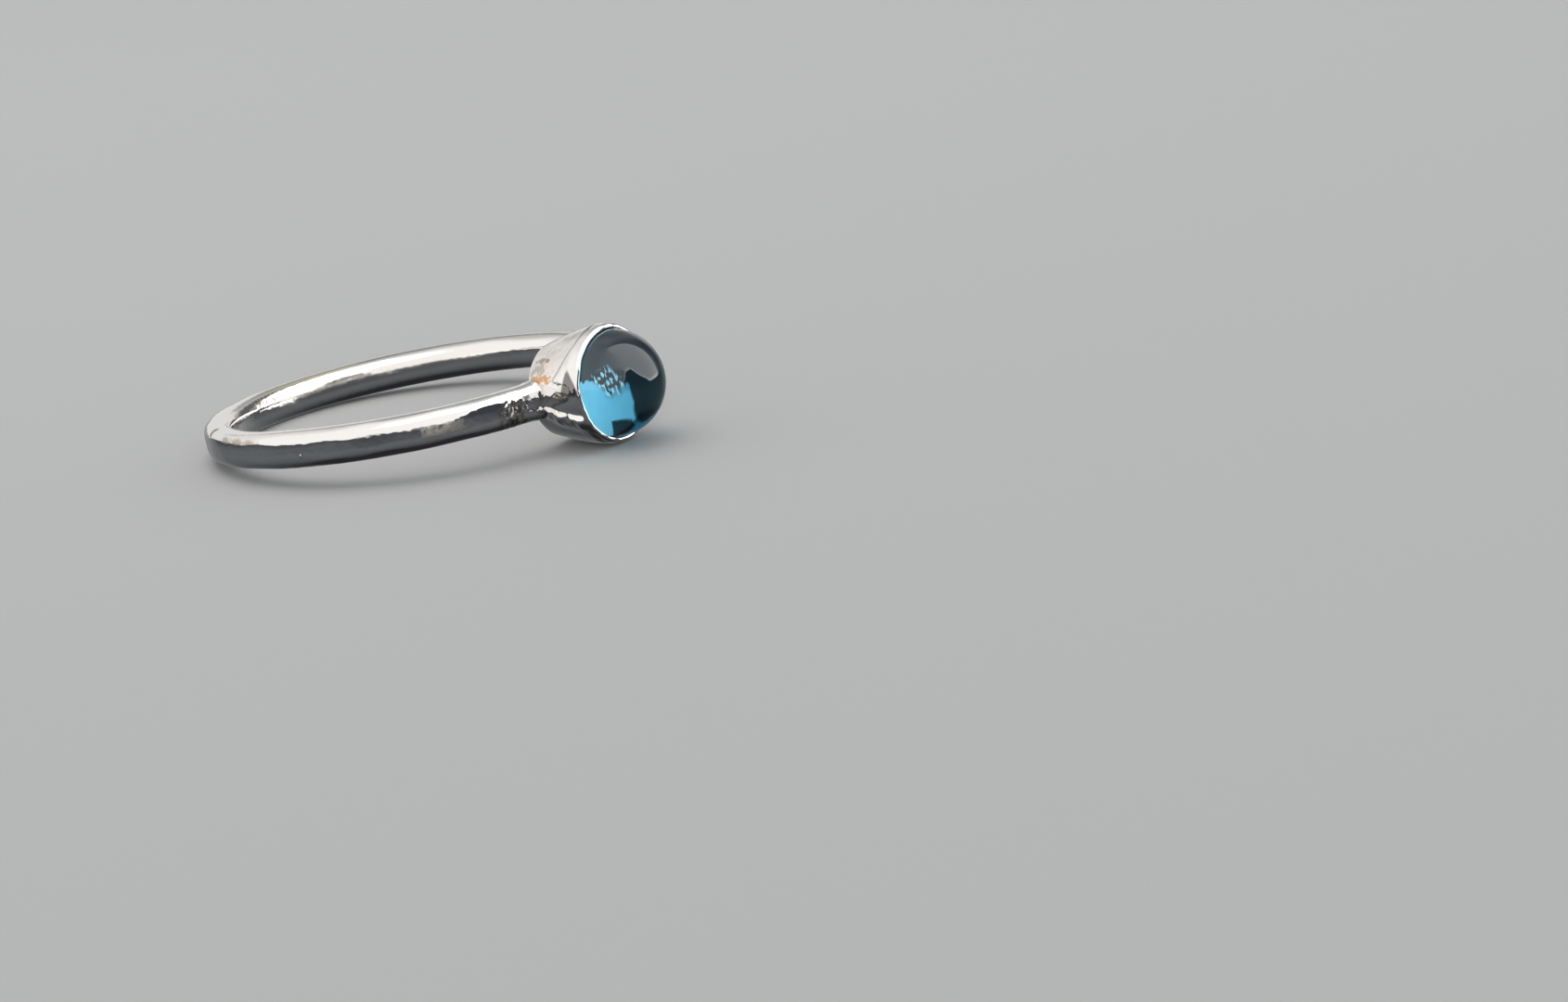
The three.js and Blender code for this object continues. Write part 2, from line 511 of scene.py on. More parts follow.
@dataclass
class BezelCup:
    """The tapered cup: flat underside, bellied side, burnished lip, ledge and well inside.

    Radii are from the cup's own axis and heights from its underside, in millimetres.
    """

    base_radius: float = 2.1
    belly_radius: float = 2.56
    rim_radius: float = 2.83
    height: float = 3.5
    base_at: float = CUP_BASE_AT
    tilt: float = CUP_TILT
    floor: float = 0.5
    well_radius: float = 1.55
    ledge_radius: float = 2.1
    ledge_height: float = 2.25
    socket_radius: float = 2.52
    corner: float = 0.2
    lip: float = 0.14
    inner_lip: float = 0.05
    bevel: float = 0.08
    bevel_from: float = 2.9
    bevel_to: float = 3.36
    rim_rise: float = 0.15
    rim_top: float = 92.0
    rim_spread: float = 48.0
    seam_rise: float = 0.19
    seam_from: float = 184.0
    seam_slant: float = 5.2
    lip_height: float = 3.1
    lip_dip: float = 1.1
    side_rows: int = 150
    inner_lip_rows: int = 10
    steps_around: int = 384

    def radius_at(self, height: np.ndarray) -> np.ndarray:
        """Outer radius: the parabola through the base, belly and rim radii."""
        t = height / self.height
        belly = 4 * self.belly_radius - 2 * (self.base_radius + self.rim_radius)
        return self.base_radius * (1 - t) + self.rim_radius * t + belly * t * (1 - t)

    def to_ring(self, radius: np.ndarray, height: np.ndarray, angle: np.ndarray) -> np.ndarray:
        """Cup coordinates to the ring's frame. Angle 0 is towards +Y, and 90 degrees up."""
        across = radius * np.cos(angle)
        up = radius * np.sin(angle)
        c, s = math.cos(self.tilt), math.sin(self.tilt)
        return np.stack([self.base_at + height * c - up * s, across, height * s + up * c], -1)

    def profile(self) -> tuple[np.ndarray, np.ndarray, np.ndarray]:
        """Radius, height and outside share (1 outside, 0 inside) along one side of the cup."""
        turn = np.radians(np.linspace(-88, -15, 8))
        base_r = self.base_radius - self.corner + self.corner * np.cos(turn)
        base_h = self.corner + self.corner * np.sin(turn)
        side_h = np.linspace(self.corner, self.height - self.lip, self.side_rows)
        worn = smoothstep(self.bevel_from, self.bevel_to, side_h) ** 1.5
        side_r = self.radius_at(side_h) - self.bevel * worn
        turn = np.radians(np.linspace(10, 90, 14))
        middle = self.rim_radius - self.bevel - self.lip
        turn_in = np.radians(np.linspace(90, 172, self.inner_lip_rows))
        inside = self.socket_radius + self.inner_lip
        lip_r = np.concatenate([middle + self.lip * np.cos(turn),
                                inside + self.inner_lip * np.cos(turn_in)])
        lip_h = np.concatenate([self.height - self.lip * (1 - np.sin(turn)),
                                self.height - self.inner_lip * (1 - np.sin(turn_in))])
        inner_r = np.concatenate([
            np.full(12, self.socket_radius),
            np.linspace(self.socket_radius - 0.02, self.ledge_radius, 8),
            np.linspace(self.ledge_radius, self.well_radius, 16),
            np.linspace(self.well_radius * 0.98, 0.05, 10)])
        inner_h = np.concatenate([
            np.linspace(self.height - self.lip, self.ledge_height + 0.02, 12),
            np.full(8, self.ledge_height),
            np.linspace(self.ledge_height - 0.02, self.floor + 0.02, 16),
            np.full(10, self.floor)])
        centre_r = np.array([0.05, 0.8, 1.5])
        centre_h = np.zeros(3)
        radius = np.concatenate([centre_r, base_r, side_r, lip_r, inner_r])
        height = np.concatenate([centre_h, base_h, side_h, lip_h, inner_h])
        outside = np.concatenate([np.ones(len(radius) - len(inner_r)), np.zeros(len(inner_r))])
        return radius, height, outside

    def build(self, lie: Lie, finish: bpy.types.Material) -> bpy.types.Object:
        """The cup as one closed surface: its profile turned about its axis, then made uneven."""
        radius, height, outside = self.profile()
        angle = np.linspace(0, 2 * math.pi, self.steps_around, endpoint=False)
        radius = radius[:, None] + 0 * angle[None]
        height = height[:, None] + 0 * angle[None]
        angle = angle[None] + 0 * radius
        rough = self.to_ring(radius, height, angle)
        shape = 0.014 * bumps(rough, 2.2, seed=3) + 0.003 * bumps(rough, 0.6, seed=4)
        shape = shape + self.lip_relief(height, np.degrees(angle), rough)
        shape = shape + self.seam(height, np.degrees(angle), rough)
        shape = shape * outside[:, None] * smoothstep(0.0, 0.4, height)
        shape = shape * (1 - 0.8 * smoothstep(self.height - 0.25, self.height - 0.05, height))
        radius = radius + shape * smoothstep(0.0, 0.4, radius)
        high = self.rim_rise * bell(np.degrees(angle), self.rim_top, self.rim_spread)
        high = high + 0.03 * bumps(rough, 1.6, seed=24)
        height = height + high * smoothstep(2.9, 3.45, height)
        points = self.to_ring(radius, height, angle)
        grain = np.stack([height * 6.0, radius * 6.0, 0.4 * np.sin(angle)], -1)
        look = Surface(rough)
        self.stain_and_painted_light(look, height, np.degrees(angle), outside[:, None] > 0.5)
        piece = Grid(points).build("bezel_cup", lie, look.marks(grain))
        piece.data.materials.append(finish)
        return piece

    def lip_line(self, turn: np.ndarray) -> np.ndarray:
        """Height of the lower edge of the burnished lip. It dips on the side next to the joint,
        as the power 2.5 of the turn from the top of that side."""
        dip = self.lip_dip * (np.clip(turn - 100, 0, 60) / 60) ** 2.5
        return self.lip_height - dip * (1 - smoothstep(166, 200, turn))

    def lip_relief(self, height: np.ndarray, turn: np.ndarray, rough: np.ndarray) -> np.ndarray:
        """The burnished lip stands out a little over a fine groove."""
        over = height - self.lip_line(turn) + 0.03 * bumps(rough, 0.9, seed=21)
        shown = 1 - smoothstep(156, 168, turn)
        return (0.022 * smoothstep(0.0, 0.16, over) - 0.030 * bell(over, -0.03, 0.05)) * shown

    def seam(self, height: np.ndarray, turn: np.ndarray, rough: np.ndarray) -> np.ndarray:
        """A raised seam along the cup's lower side: steep above, easing off below.

        Args:
            height: height over the cup's underside.
            turn: degrees round the cup, 90 up and 180 on the side next to the near joint.
            rough: points of the plain cup.

        Returns:
            How far the seam stands out of the cup's side.
        """
        off = turn - self.seam_from - self.seam_slant * height - 0.6 * bumps(rough, 1.1, seed=22)
        off = off * math.pi / 180 * 2.6
        uneven = 0.9 + 0.2 * bumps(rough, 1.0, seed=23, octaves=2)
        ridge = smoothstep(-0.17, 0.13, off) * (1 - smoothstep(0.2, 1.2, off))
        return self.seam_rise * uneven * ridge * smoothstep(0.7, 1.5, height)

    def stain_and_painted_light(self, look: Surface, height: np.ndarray, turn: np.ndarray,
              outside: np.ndarray) -> None:
        """Marks on the cup, with scuffs. Outside: a copper patch painted as the reflection of
        something warm, a pink blush, brown and grey marks, a dark wedge under the rim, the dark
        of the groove, mottling, and painted shade on the lip's inner side. Inside: painted shade
        on the socket and well.
        """
        points = look.points
        wavy = turn + 2.0 * bumps(points, 0.8, seed=31)
        # Painted reflection: a copper-coloured patch low on the cup's side stands for something
        # warm mirrored there.
        painted_copper_patch = span(height, 0.25, 1.75, 0.25) * bell(wavy, 158, 5.5)
        look.paint(outside * blot(painted_copper_patch * 1.1, points, 0.45, 32), StainAndPaintedLight.COPPER_PAINTED_REFLECTION, 0.25)
        blush = span(height, 0.5, 2.2, 0.5) * bell(wavy, 146, 13)
        look.paint(outside * 0.35 * blush * (1 - painted_copper_patch), StainAndPaintedLight.BLUSH)
        mark = span(height, 0.55, 1.55, 0.1) * bell(wavy, 131 + 5 * height, 2.6)
        look.paint(outside * blot(mark * 1.1, points, 0.35, 33), StainAndPaintedLight.BROWN, 0.3)
        grey = span(height, 0.3, 1.3, 0.15) * bell(wavy, 146, 6)
        look.paint(outside * 0.7 * blot(grey, points, 0.3, 34), StainAndPaintedLight.ASH, 0.5)
        wide = 0.05 + 0.022 * np.clip(turn - 153, 0, 30)
        wedge = span(height, 2.95 - wide, 2.95 + wide, 0.05) * span(turn, 154, 178, 3)
        look.paint(outside * 0.85 * wedge, StainAndPaintedLight.WEDGE, 0.1)
        over = height - self.lip_line(turn) + 0.03 * bumps(points, 0.9, seed=21)
        groove = bell(over, -0.03, 0.06)
        look.paint(outside * 0.75 * groove * span(turn, 95, 162, 6), StainAndPaintedLight.GROOVE, 0.2)
        mottle = span(height, 0.3, 2.8, 0.4) * span(turn, 70, 152, 8)
        look.paint(outside * 0.45 * blot(0.5 * mottle, points, 0.8, 35, 0.4), StainAndPaintedLight.MOTTLE, 0.2)
        # Painted shade: the lip's inner side, against the stone, is darkened.
        row = np.arange(len(height))[:, None]
        within = row > outside.sum() - self.inner_lip_rows
        look.paint(outside * 0.7 * within, StainAndPaintedLight.INNER_LIP_PAINTED_SHADE)
        # Painted shade: the socket and well inside the cup are darkened above the floor, so they
        # show dark through the stone.
        painted_inner = 1.0 - outside
        look.paint(painted_inner * 0.6 * smoothstep(0.3, 0.6, height) * (height < self.height - 0.3),
                   StainAndPaintedLight.WELL_PAINTED_SHADE, 0.4)


# -------- band


@dataclass
class Band:
    """The round-wire band, hammered flat outside, whose ends run into the cup's wall."""

    cup: BezelCup
    mid_radius: float = 9.4
    thickness: float = 1.4
    width: float = 1.74
    power_in: float = 2.5
    power_out: float = 3.0
    facet_length: float = 3.1
    edge_round: float = 0.05
    steps_along: int = 1300
    steps_around: int = 72
    end_offset: float = 1.95
    end_lift: float = 0.05
    solder_height: float = 0.06
    solder_reach: float = 0.35
    worn_top: float = 0.075
    nick_at: float = 236.4
    nick_depth: float = 0.05
    pit_at: float = 278.8
    pit_height: float = 0.04

    def facets(self) -> list[tuple[float, float, float]]:
        """Hammer marks, as (place along the band, polar angle of its middle, distance cut off)."""
        rng = np.random.default_rng(11)
        marks = []
        around = 2 * math.pi * self.mid_radius
        rows = ((0.0, 0.010), (40.0, 0.016), (-40.0, 0.016), (68.0, 0.010), (-68.0, 0.010))
        for row, (tilt, depth) in enumerate(rows):
            count = int(around / self.facet_length)
            for k in range(count):
                place = (k + 0.5 * (row % 2) + rng.uniform(-0.3, 0.3)) * around / count
                lean = math.radians(tilt + rng.uniform(-4, 4))
                marks.append((place, lean, depth * rng.uniform(0.6, 1.5)))
        return marks

    def section(self, along: np.ndarray, angle: np.ndarray) -> np.ndarray:
        """Distance from the wire's middle to its surface.

        Starts from the superellipse and is cut by one plane for each hammer mark. A plane at
        distance h from the middle, at polar angle a, lets the surface out to
        (h + s^2 / 2R * cos a) / cos(angle - a), where s is the distance along the band.
        """
        half_out, half_up = self.thickness / 2, self.width / 2
        edge = superellipse(angle, half_out, half_up, self.power_in, self.power_out)
        around = 2 * math.pi * self.mid_radius
        fine = np.linspace(-math.pi, math.pi, 721)
        shape = superellipse(fine, half_out, half_up, self.power_in, self.power_out)
        for place, lean, depth in self.facets():
            support = np.max(shape * np.cos(fine - lean))
            s = (along - place + around / 2) % around - around / 2
            facing = np.cos(angle - lean)
            sag = s * s / (2 * self.mid_radius) * (0.35 + 0.65 * max(math.cos(lean), 0.0))
            cut = (support - depth + sag) / np.maximum(facing, 0.05)
            edge = np.where(facing > 0.3, smooth_min(edge, cut, self.edge_round), edge)
        return edge

    def build(self, lie: Lie, finish: bpy.types.Material) -> bpy.types.Object:
        """The band: its section carried round the finger hole from one side of the cup to the
        other, growing into a fillet of solder where it meets the cup."""
        start = math.asin(self.end_offset / self.mid_radius)
        phi = np.linspace(start, 2 * math.pi - start, self.steps_along)[:, None]
        angle = np.linspace(0, 2 * math.pi, self.steps_around, endpoint=False)[None]
        along = phi * self.mid_radius + 0 * angle
        angle = angle + 0 * phi
        edge = self.section(along, angle)
        side = np.minimum(phi, 2 * math.pi - phi) * self.mid_radius
        lift = self.end_lift * (1 - smoothstep(self.end_offset, self.end_offset + 0.5, side))
        out = edge * np.cos(angle)
        up = edge * np.sin(angle)
        radial = self.mid_radius + out + lift * (1 - smoothstep(-0.3, 0.9, out))
        height = radial * np.cos(phi) - self.cup.base_at
        gap = np.abs(radial * np.sin(phi)) - self.cup.radius_at(np.clip(height, 0, 3))
        swell = self.solder_height * np.exp(-np.maximum(gap, 0) / self.solder_reach)
        swell *= (height > -1.5) * (np.cos(phi) > 0)
        rough = np.stack([radial * np.cos(phi), radial * np.sin(phi), up], -1)
        swell *= 1 + 0.45 * bumps(rough, 0.7, seed=8)
        turn = np.degrees(phi)
        section = np.degrees(angle)
        grow = edge + swell + self.relief(rough, turn, section)
        radial = self.mid_radius + grow * np.cos(angle) + lift * (1 - smoothstep(-0.3, 0.9, out))
        points = np.stack([radial * np.cos(phi), radial * np.sin(phi), grow * np.sin(angle)], -1)
        grain = np.stack([radial * 6.0, grow * np.sin(angle) * 6.0, along * 0.5], -1)
        look = Surface(rough)
        self.stain_and_painted_light(look, turn, section)
        # Solder tint and painted shade: the band darkens towards where it meets the cup.
        look.paint(0.5 * np.exp(-np.maximum(gap, 0) / 0.2) * (np.cos(phi) > 0),
                   StainAndPaintedLight.SOLDER_AND_PAINTED_SHADE, 0.3)
        piece = Grid(points, flip=True).build("band", lie, look.marks(grain))
        piece.data.materials.append(finish)
        return piece

    def relief(self, rough: np.ndarray, turn: np.ndarray, section: np.ndarray) -> np.ndarray:
        """Small unevenness, a worn flat top at the back of the ring, solder crumbs by the joint,
        a nick and a small raised pit.

        Args:
            rough: points of the plain band.
            turn: degrees round the finger hole, from the cup through the far side.
            section: degrees round the wire, 0 outwards and 90 up.

        Returns:
            How far the surface is moved outwards from the wire's middle.
        """
        small = 0.0022 * bumps(rough, 0.55, seed=5) + 0.012 * bumps(rough, 9.0, seed=6, octaves=1)
        flat = self.worn_top * span(turn, 188, 262, 12) * bell(section, 90, 34)
        crumbs = span(turn, 334, 341, 1.2) * bell((section + 180) % 360, 165, 50)
        lumps = np.maximum(bumps(rough, 0.42, seed=41), -0.3)
        pits = np.maximum(bumps(rough, 0.2, seed=42) - 0.5, 0)
        nick = self.nick_depth * bell(turn, self.nick_at, 0.8) * span(section, 40, 80, 5)
        pit = self.pit_height * bell(turn, self.pit_at, 0.42) * bell(section, 342, 5)
        return small - flat + crumbs * (0.05 * lumps - 0.07 * pits) - nick + pit

    def stain_and_painted_light(self, look: Surface, turn: np.ndarray, section: np.ndarray) -> None:
        """Stains, scuffs and painted light, by the same angles as relief. Painted reflections: a
        beige tint by the near joint, grey on the top of the far half, and ivory, dun and warm tints
        there; painted shade among the solder crumbs. Also rust, dark flecks, a pale tint on the
        crumbs and a darkened nick.
        """
        points = look.points
        # Painted reflection on a scuffed patch: a beige tint by the near joint stands for something
        # mirrored there.
        painted_beige = span(turn, 312, 324, 1.2) * span((section + 180) % 360, 158, 196, 6)
        look.paint(0.85 * blot(painted_beige, points, 0.4, 51, 0.4), StainAndPaintedLight.BEIGE_PAINTED_REFLECTION, 0.85)
        rust = span(turn, 247, 264, 4) * bell(section, 38, 10)
        look.paint(0.8 * blot(rust, points, 1.1, 52, 0.4), StainAndPaintedLight.RUST, 0.6)
        # Painted reflection: the top of the far half is greyed for the grey tone it mirrors.
        upper = 124 + 5 * bumps(points, 3.0, 56, 1)
        painted_grey_top = span(turn, 22, 186, 8) * span(section, 40, upper, 8)
        look.paint(0.75 * painted_grey_top, StainAndPaintedLight.SHOULDER_PAINTED_REFLECTION, 0.12)
        # Painted reflection: ivory, dun and warm tints on the far half stand for warm things
        # mirrored there; the dun and warm tints also dull it.
        painted_ivory = 0.9 * span(turn, 150, 184, 8) * span(section, 95, 160, 10)
        look.paint(painted_ivory, StainAndPaintedLight.IVORY_PAINTED_REFLECTION)
        painted_dun = span(turn, 148, 180, 6) * span(section, 142, 180, 6)
        look.paint(0.7 * blot(painted_dun, points, 0.6, 53, 0.6), StainAndPaintedLight.DUN_PAINTED_REFLECTION, 0.7)
        painted_inner = span(turn, 100, 182, 10) * span(section, 128, 205, 12)
        look.paint(0.8 * painted_inner, StainAndPaintedLight.WARM_PAINTED_REFLECTION, 0.33)
        flecks = span(turn, 180, 194, 3) * span(section, 124, 158, 6)
        look.paint(flecks * blot(0.36 + 0 * flecks, points, 0.25, 54), StainAndPaintedLight.FLECK, 0.4)
        crumbs = span(turn, 333, 341, 1.5) * bell((section + 180) % 360, 165, 50)
        look.paint(0.8 * crumbs, StainAndPaintedLight.CRUMB, 0.55)
        look.paint(0.8 * crumbs * blot(0.36 + 0 * crumbs, points, 0.3, 55), StainAndPaintedLight.CRUMB_SHADE, 0.4)
        nick = bell(turn, self.nick_at, 0.9) * span(section, 40, 78, 5)
        look.paint(nick, StainAndPaintedLight.NICK, 0.3)


# -------- stone


# Stretches the noise of the torn foil, so that its shreds run slantwise over the stone's back.
SHRED_GRAIN = np.array([[0.8, -0.6, 0.0], [0.33, 0.45, 0.0], [0.0, 0.0, 1.0]])


@dataclass
class Cabochon:
    """The stone: flat back, straight girdle, high dome. Across and up are places on its back."""

    cup: BezelCup
    radius: float = 2.5
    back: float = 2.3
    girdle: float = 1.0
    dome: float = 2.5
    bevel: float = 0.12
    foil_start: float = 0.34
    foil_fall: float = 0.85
    foil_lowest: float = -0.36
    foil_highest: float = 0.10
    pale_edge_across: float = 1.63
    notch_across: float = 1.0
    notch_up: float = 0.95
    torn_from: float = 0.64
    torn_to: float = 1.62
    torn_top: float = 0.08
    crumple: float = 0.03
    painted_shade_edge: float = -0.97
    back_rows: int = 110
    girdle_rows: int = 9
    dome_rows: int = 60
    steps_around: int = 384

    def profile(self) -> tuple[np.ndarray, np.ndarray]:
        """Radius and height: flat back, a bevel, the girdle, then a quarter of an ellipse."""
        turn = np.linspace(0, math.pi / 2, self.dome_rows + 1)[:-1]
        dome_r = self.radius * np.cos(turn)
        dome_h = self.back + self.girdle + self.dome * np.sin(turn)
        flat_r = np.linspace(0.03, self.radius - self.bevel, self.back_rows)
        side_h = np.linspace(self.back + self.bevel, self.back + self.girdle,
                             self.girdle_rows + 1)[:-1]
        radius = np.concatenate([flat_r, np.full(self.girdle_rows, self.radius), dome_r])
        height = np.concatenate([np.full(self.back_rows, self.back), side_h, dome_h])
        return radius, height

    def foil(self, across: np.ndarray, up: np.ndarray) -> tuple[np.ndarray, np.ndarray]:
        """The foil that is left on the back, and how crumpled it is.

        Pale foil, a painted reflection of bright sky off the cup's inner wall, lies below a line
        that falls away from the middle, inside an edge and above a notch. Over the line it is torn
        to crumpled shreds, brighter than the pale foil as painted highlights; the rest is black, a
        painted shade.

        Args:
            across, up: places on the back, in millimetres from its middle.

        Returns:
            How pale the foil is, and how much each place belongs to a shred.
        """
        flat = np.stack([across, up, 0 * across], -1)
        rag = 0.05 * bumps(flat, 0.5, seed=61)
        line = np.clip(self.foil_start - self.foil_fall * (across - 0.2),
                       self.foil_lowest, self.foil_highest) + 1.6 * rag
        rim = self.pale_edge_across - 0.5 * np.maximum(-0.62 - up, 0) + 0.2 * rag
        whole = smoothstep(-0.015, 0.015, line - up) * smoothstep(-0.015, 0.015, rim - across)
        notch = smoothstep(-0.008, 0.008, up + self.notch_up - 0.1 * across)
        whole = whole * np.where(across > self.notch_across, notch, 1.0)
        top = self.torn_top - 1.1 * np.maximum(across - 1.22, 0)
        torn = span(across, self.torn_from, self.torn_to, 0.08) * smoothstep(-0.12, 0.0, up - line)
        torn = torn * (1 - smoothstep(-0.06, 0.06, up - top))
        shreds = bumps(flat @ SHRED_GRAIN, 0.10, seed=62, octaves=2) - 0.03
        shreds = torn * smoothstep(-0.12, 0.15, shreds)
        # Painted highlights: the shreds are made brighter than the pale foil.
        return np.maximum(0.9 * whole * (1 - 0.55 * torn), 1.3 * shreds), shreds

    def build(self, lie: Lie, finish: bpy.types.Material,
              backing: bpy.types.Material) -> bpy.types.Object:
        """The stone: its profile turned about the cup's axis, with foil on its back and girdle that
        carries painted reflection, painted shade and painted glints, and a film of painted shade on
        the dome.
        """
        radius, height = self.profile()
        angle = np.linspace(0, 2 * math.pi, self.steps_around, endpoint=False)[None]
        radius = radius[:, None] + 0 * angle
        height = height[:, None] + 0 * angle
        across, up = radius * np.cos(angle), radius * np.sin(angle)
        foil, shreds = self.foil(across, up)
        behind = (np.arange(len(radius)) < self.back_rows)[:, None]
        flat = np.stack([across, up, 0 * up], -1)
        crumple = self.crumple * shreds * np.abs(bumps(flat, 0.3, seed=63))
        crumple = crumple * (radius < self.radius - 0.3)
        points = self.cup.to_ring(radius, height + behind * crumple, angle + 0 * radius)
        around = np.degrees(angle) + 0 * radius
        # On the girdle the foil is black, a painted shade, but for a pale patch from 186 to 212
        # degrees, a painted reflection.
        foil = np.where(behind, foil, 0.7 * span(around, 186, 212, 3))
        # White on the shreds: a painted glint.
        painted_glint = smoothstep(0.35, 0.9, shreds) * behind
        # Painted shade: a film that darkens the dome's lower side.
        edge = self.painted_shade_edge - 0.35 * np.maximum(-1.55 - up, 0)
        painted_shade_film = smoothstep(-0.05, 0.10, across - edge) * (1 - smoothstep(-1.5, -1.1, up))
        marks = {"foil": foil, "painted_glint": painted_glint, "painted_shade_film": painted_shade_film * (1 - behind)}
        piece = Grid(points).build("cabochon_stone", lie, marks)
        piece.data.materials.append(finish)
        piece.data.materials.append(backing)
        slots = np.zeros(len(piece.data.polygons), np.int32)
        slots[:(self.back_rows + self.girdle_rows) * self.steps_around] = 1
        back_fan = (len(radius) - 1) * self.steps_around
        slots[back_fan:back_fan + self.steps_around] = 1
        piece.data.polygons.foreach_set("material_index", slots)
        return piece


# -------- studio


@dataclass
class Studio:
    """Pale floor, soft light and the camera.

    Azimuth 0 looks along +Y. The camera stands at a distance from the middle of the finger hole,
    and its own axis points past the ring. Heights of the mirrored world are raised by
    height_shift, so that the skyline can run below the level.
    """

    stand_azimuth: float = math.radians(41.63)
    stand_elevation: float = math.radians(12.45)
    distance: float = 0.15681
    look_azimuth: float = math.radians(35.25)
    look_elevation: float = math.radians(15.10)
    roll: float = math.radians(-6.69)
    focal_length: float = 74.56
    floor_size: float = 3.0
    near_side: Vector = field(init=False)
    right_side: Vector = field(init=False)
    light_steps: int = 24
    height_shift: float = 0.15
    skyline_edge: float = 45.0
    pane_edge: float = 12.0
    glow_height: float = 0.085
    glow_edge: float = 16.0
    glow_colour: tuple = (4.0, 4.0, 4.0)
    belt_grey: tuple = (0.36, 0.37, 0.37)
    dome_colour: tuple = (0.55, 0.56, 0.57)
    box_size: float = 0.5
    box_power: float = 0.55
    box_place: tuple = (-0.15, 0.05, 0.45)

    def __post_init__(self) -> None:
        """The level directions from the ring to the camera and to the camera's right."""
        sine, cosine = math.sin(self.stand_azimuth), math.cos(self.stand_azimuth)
        self.near_side = Vector((sine, -cosine, 0))
        self.right_side = Vector((cosine, sine, 0))

    @staticmethod
    def direction(azimuth: float, elevation: float) -> Vector:
        """The way back from a looked-at point to the camera."""
        level = math.cos(elevation)
        return Vector((math.sin(azimuth) * level, -math.cos(azimuth) * level,
                       math.sin(elevation)))

    def camera(self, lie: Lie) -> None:
        """The camera, from its stand, its axis and its roll."""
        hole = Vector(lie.place(np.zeros(3)))
        back = self.direction(self.look_azimuth, self.look_elevation)
        level = Vector((0, 0, 1)).cross(back).normalized()
        upright = back.cross(level)
        right = level * math.cos(self.roll) + upright * math.sin(self.roll)
        up = back.cross(right)
        made = bpy.data.cameras.new("camera")
        made.lens = self.focal_length
        made.sensor_width = 36.0
        made.clip_start = 0.005
        made.clip_end = 10.0
        camera = bpy.data.objects.new("camera", made)
        turn = Matrix((right, up, back)).transposed().to_4x4()
        stand = hole + self.distance * self.direction(self.stand_azimuth, self.stand_elevation)
        camera.matrix_world = Matrix.Translation(stand) @ turn
        bpy.context.scene.collection.objects.link(camera)
        bpy.context.scene.camera = camera

    def floor(self) -> None:
        """The pale board the ring lies on. The silver and the stone mirror the sky and ground
        of the world instead of it."""
        half = self.floor_size / 2
        mesh = bpy.data.meshes.new("floor")
        corners = [(-half, -half, 0), (half, -half, 0), (half, half, 0), (-half, half, 0)]
        mesh.from_pydata(corners, [], [(0, 1, 2, 3)])
        mesh.materials.append(PaleFloor().material())
        floor = bpy.data.objects.new("floor", mesh)
        floor.visible_glossy = False
        floor.visible_transmission = False
        bpy.context.scene.collection.objects.link(floor)

    def light(self) -> None:
        """One large soft box over the ring."""
        data = bpy.data.lights.new("soft_box", "AREA")
        data.shape = "DISK"
        data.size = self.box_size
        data.energy = self.box_power
        box = bpy.data.objects.new("soft_box", data)
        box.location = self.box_place
        box.rotation_euler = (-Vector(self.box_place)).to_track_quat("-Z", "Y").to_euler()
        box.visible_glossy = False
        box.visible_transmission = False
        bpy.context.scene.collection.objects.link(box)

    def sky(self, n: Nodes, bearing: bpy.types.NodeSocket,
            height: bpy.types.NodeSocket) -> tuple[bpy.types.NodeSocket, bpy.types.NodeSocket]:
        """The mirrored sky, and how far a direction is over the skyline.

        The sky goes from low to high tones with height. Behind the ring it has a grey belt, and
        high up it turns into a bright panel. By the camera's right its lower edge glows.

        Args:
            n: the world's nodes.
            bearing: 0 and 1 away from the camera, 0.25 its left, 0.5 towards it, 0.75 its right.
            height: the direction's Z, -1 to 1.
        """
        raised = n.math("ADD", height, self.height_shift)
        over = n.math("SUBTRACT", raised, n.ramp(bearing, self.greys([
            (0.0, 0.15), (0.555, 0.15), (0.59, 0.63), (0.633, 0.66), (0.675, 0.35), (0.735, 0.08),
            (0.82, 0.08), (0.85, 0.15), (1.0, 0.15)])))
        low = n.ramp(bearing, self.tones([
            (0.0, 0.74), (0.13, 0.77), (0.21, 0.98), (0.36, 1.0), (0.80, 1.0), (0.86, 0.12),
            (0.90, 0.12), (0.94, 0.74), (1.0, 0.74)]))
        high = n.ramp(bearing, self.tones([
            (0.0, 0.85), (0.10, 0.78), (0.22, 0.95), (0.36, 1.0), (0.80, 1.0), (0.86, 0.35),
            (0.94, 0.80), (1.0, 0.85)]))
        sky = n.mix(n.ramp(height, self.greys([(0.40, 0.0), (0.92, 1.0)])), low, high)
        behind = n.ramp(bearing, self.greys([(0.015, 1.0), (0.07, 0.0), (0.90, 0.0), (0.95, 1.0)]))
        belt = n.ramp(height, self.greys([(0.26, 0.0), (0.36, 1.0), (0.74, 1.0), (0.93, 0.0)]))
        sky = n.mix(n.math("MULTIPLY", behind, belt), sky, self.belt_grey)
        pane = n.ramp(bearing, self.greys([
            (0.36, 1.2), (0.40, 0.76), (0.56, 0.72), (0.60, 0.60), (0.633, 0.60), (0.675, 0.30),
            (0.735, 0.03), (0.82, 0.03), (0.85, 1.2)]))
        inside = n.math("MULTIPLY", n.math("SUBTRACT", raised, pane), self.pane_edge, clamp=True)
        panel = n.ramp(bearing, self.greys([(0.40, 1.15), (0.54, 1.5), (0.64, 2.1)]))
        sky = n.mix(inside, sky, panel)
        glow = n.math("MULTIPLY", n.math("SUBTRACT", self.glow_height, over), self.glow_edge,
                      clamp=True)
        lit = n.mix(n.math("MULTIPLY", glow, 0.9), sky, self.glow_colour)
